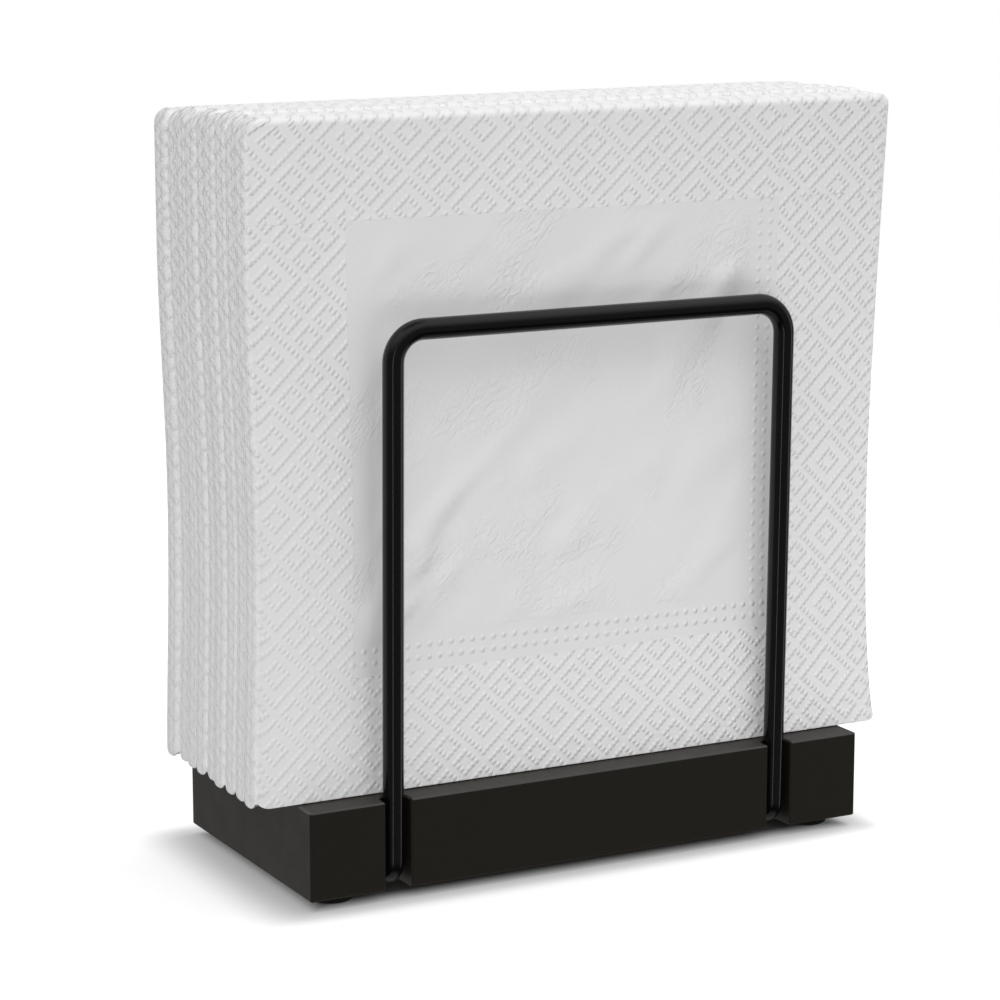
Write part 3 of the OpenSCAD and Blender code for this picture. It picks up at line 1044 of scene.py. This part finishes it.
def raised_dots_tree(fold):
    """The dots that stand up from the paper of one napkin, where they can be seen.

    Face is 1 for dots all over the front leaf, -1 for the rear leaf and 0 for neither. The side
    fold and the top fold have dots in any case, as far as the two reaches.
    """
    inputs = {
        **NAPKIN_INPUTS,
        "Side Reach": "NodeSocketFloat",
        "Top Reach": "NodeSocketFloat",
    }
    outputs = {"Geometry": "NodeSocketGeometry"}
    tree, given, end = group_tree("raised_dots", "GeometryNodeTree", inputs, outputs)
    half_width, half_height = sheet_halves(tree, given["Size"])
    steps_around = 250
    steps_down = 170
    grid = add_node(tree, "GeometryNodeMeshGrid", {
        "Size X": 2 * steps_around * DOT_STEP_AROUND,
        "Size Y": 2 * steps_down * DOT_STEP_DOWN,
        "Vertices X": 2 * steps_around + 1,
        "Vertices Y": 2 * steps_down + 1,
    })
    x, y, _ = point_place(tree)
    kept = kept_dot((x / DOT_STEP_AROUND).math("ROUND"), (y / DOT_STEP_DOWN).math("ROUND"))
    around = 0.0
    down = 0.0
    pressed = 0.0
    for zone in PRESSED_ZONES:
        diamond_around, diamond_down = zone["diamond"]
        zone_around = x + diamond_around
        zone_down = given["Pattern Shift"] - y * zone["drawn_out"] + diamond_down
        inside = in_zone(zone, zone_around, zone_down)
        around = around + zone_around * inside
        down = down + zone_down * inside
        pressed = pressed + inside
    on_sheet = pressed * (abs(around) < half_width - DOT_MARGIN)
    on_sheet = on_sheet * (down > -DOT_OVERLAP) * (down < half_height - DOT_MARGIN)
    on_face = (around * given["Face"] > 0.0).most(abs(around) < given["Side Reach"])
    on_face = on_face.most(down < given["Top Reach"])
    kept = kept * on_sheet * on_face * outside_panel(abs(around), down)
    lattice = result(tree, "GeometryNodeDeleteGeometry", {
        "Geometry": Wire(tree, grid.outputs["Mesh"]),
        "Selection": kept < 0.5,
    }, domain="POINT")
    lattice = result(tree, "GeometryNodeSetPosition", {
        "Geometry": lattice,
        "Position": vector(tree, around, down, 0.0),
    })
    columns = round((LINE_AROUND + LINE_GAP - PANEL_AROUND[0]) / LINE_STEP) + 1
    rows = round((LINE_DOWN + LINE_GAP - PANEL_DOWN[0]) / LINE_STEP) + 1
    lines = add_node(tree, "GeometryNodeJoinGeometry")
    feed(tree, lines.inputs[0], dotted_line(tree, columns, 2))
    feed(tree, lines.inputs[0], dotted_line(tree, 2, rows))
    turned = result(tree, "GeometryNodeTransform", {
        "Geometry": Wire(tree, lines.outputs[0]),
        "Scale": vector(tree, given["Face"], 1.0, 1.0),
    })
    lines = result(tree, "GeometryNodeDeleteGeometry", {
        "Geometry": turned,
        "Selection": abs(given["Face"]) < 0.5,
    }, domain="POINT")
    points = add_node(tree, "GeometryNodeJoinGeometry")
    feed(tree, points.inputs[0], lattice)
    feed(tree, points.inputs[0], lines)
    dots = result(tree, "GeometryNodeInstanceOnPoints", {
        "Points": Wire(tree, points.outputs[0]),
        "Instance": raised_dot(tree),
    })

    # Each point of a dot goes to its own place on the folds
    real = result(tree, "GeometryNodeRealizeInstances", {"Geometry": dots})
    around, down, rise = point_place(tree)
    stored = store_place(tree, real, vector(tree, around, down, given["Pattern Shift"]))
    folded = place_fold(tree, fold, given, around, down, rise - DOT_SINK)
    moved = result(tree, "GeometryNodeSetPosition", {"Geometry": stored, "Position": folded})
    outward = result(tree, "GeometryNodeFlipFaces", {"Mesh": moved})
    finish_tree(tree, end, outward, given["Material"])
    return tree


def run_tree(name, tree, values, thickness=0.0):
    """Makes a plain mesh object from a node tree and its values, thickened inwards if asked."""
    holder = bpy.data.objects.new(name, bpy.data.meshes.new(name))
    bpy.context.scene.collection.objects.link(holder)
    modifier = holder.modifiers.new("shape", "NODES")
    modifier.node_group = tree
    for item in tree.interface.items_tree:
        if item.in_out == "INPUT":
            modifier[item.identifier] = values[item.name]
    if thickness:
        shell = holder.modifiers.new("thickness", "SOLIDIFY")
        shell.thickness = thickness
        shell.offset = -1
    graph = bpy.context.evaluated_depsgraph_get()
    made = bpy.data.meshes.new_from_object(holder.evaluated_get(graph))
    holder.modifiers.clear()
    holder.data = made
    made.name = name
    return holder


make_camera()
make_world()
make_floor(floor_material(*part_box("base_block")))
paper = bpy.data.collections.new("paper")
lights = {name: make_softbox(name, **values) for name, values in SOFTBOXES.items()}
for name in ("relief", "top", "low_fill", "rear"):
    lights[name].light_linking.receiver_collection = paper
# Only paper stops the relief light, so that the hoop throws no long shadow
lights["relief"].light_linking.blocker_collection = paper

speckle = paint_speckle_group()
looks = {
    "block": painted_wood(speckle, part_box("base_block")[1]),
    "rod": painted(
        "black_rod_paint",
        speckle,
        grain=900.0,
        low=grey(0.005),
        high=grey(0.007),
        roughness=0.1,
        specular=0.35,
        relief=0.03,
    ),
    "plates": painted(
        "dark_plate_paint",
        speckle,
        grain=1200.0,
        low=grey(0.02),
        high=grey(0.04),
        roughness=0.5,
        specular=0.4,
        relief=0.1,
    ),
    "screws": painted(
        "zinc_plate",
        speckle,
        grain=2000.0,
        low=(0.45, 0.45, 0.43),
        high=(0.6, 0.6, 0.57),
        roughness=0.35,
        specular=0.5,
        relief=0.1,
    ),
    "feet": painted(
        "black_rubber",
        speckle,
        grain=1500.0,
        low=grey(0.005),
        high=grey(0.01),
        roughness=0.75,
        specular=0.3,
        relief=0.3,
    ),
    "paper": tissue("napkin_tissue"),
}
looks["screws"].node_tree.nodes["Principled BSDF"].inputs["Metallic"].default_value = 1.0

for row in frame["record"]["subparts"]:
    if row["node"] not in NAPKINS:
        node = frame["nodes"][row["node"]]
        node.data.materials.clear()
        node.data.materials.append(looks[row["material_slot"]])

fold = fold_group()
sheet_tree = folded_sheet_tree(fold)
dots_tree = raised_dots_tree(fold)
for number, name in enumerate(NAPKINS):
    low, high = (Vector(corner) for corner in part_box(name))
    rearness = number / (len(NAPKINS) - 1)
    low.x += REAR_INSET * rearness
    high.z -= REAR_DROP * rearness
    front = number == 0
    rear = number == len(NAPKINS) - 1
    flat_half = flat_halves(*(high - low))
    shared = {
        "Low Corner": low,
        "Size": high - low,
        "Wrinkle": WRINKLE_HEIGHT,
        "Face": 1.0 if front else -1.0 if rear else 0.0,
        "Seed": SEED_STEP * number,
        "Fold Corner": FOLD_CORNER + (REAR_FOLD_CORNER - FOLD_CORNER) * rearness,
        "Droop": REAR_DROOP * rearness,
        "Pattern Shift": -(PATTERN_SHIFT * number % REPEAT_DOWN),
        "Material": looks["paper"],
    }
    sheet = run_tree(f"{name}_sheet", sheet_tree, {
        **shared,
        **(FRONT_GRID if front else OTHER_GRID),
    }, PAPER_THICKNESS)
    dots = run_tree(f"{name}_dots", dots_tree, {
        **shared,
        "Side Reach": SIDE_REACH,
        "Top Reach": TOP_REACH,
    })
    for piece in (sheet, dots):
        paper.objects.link(piece)
        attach(piece, name)
    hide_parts(name)
    flat = tuple(2 * half for half in flat_half)

bpy.context.scene.view_settings.view_transform = "Standard"
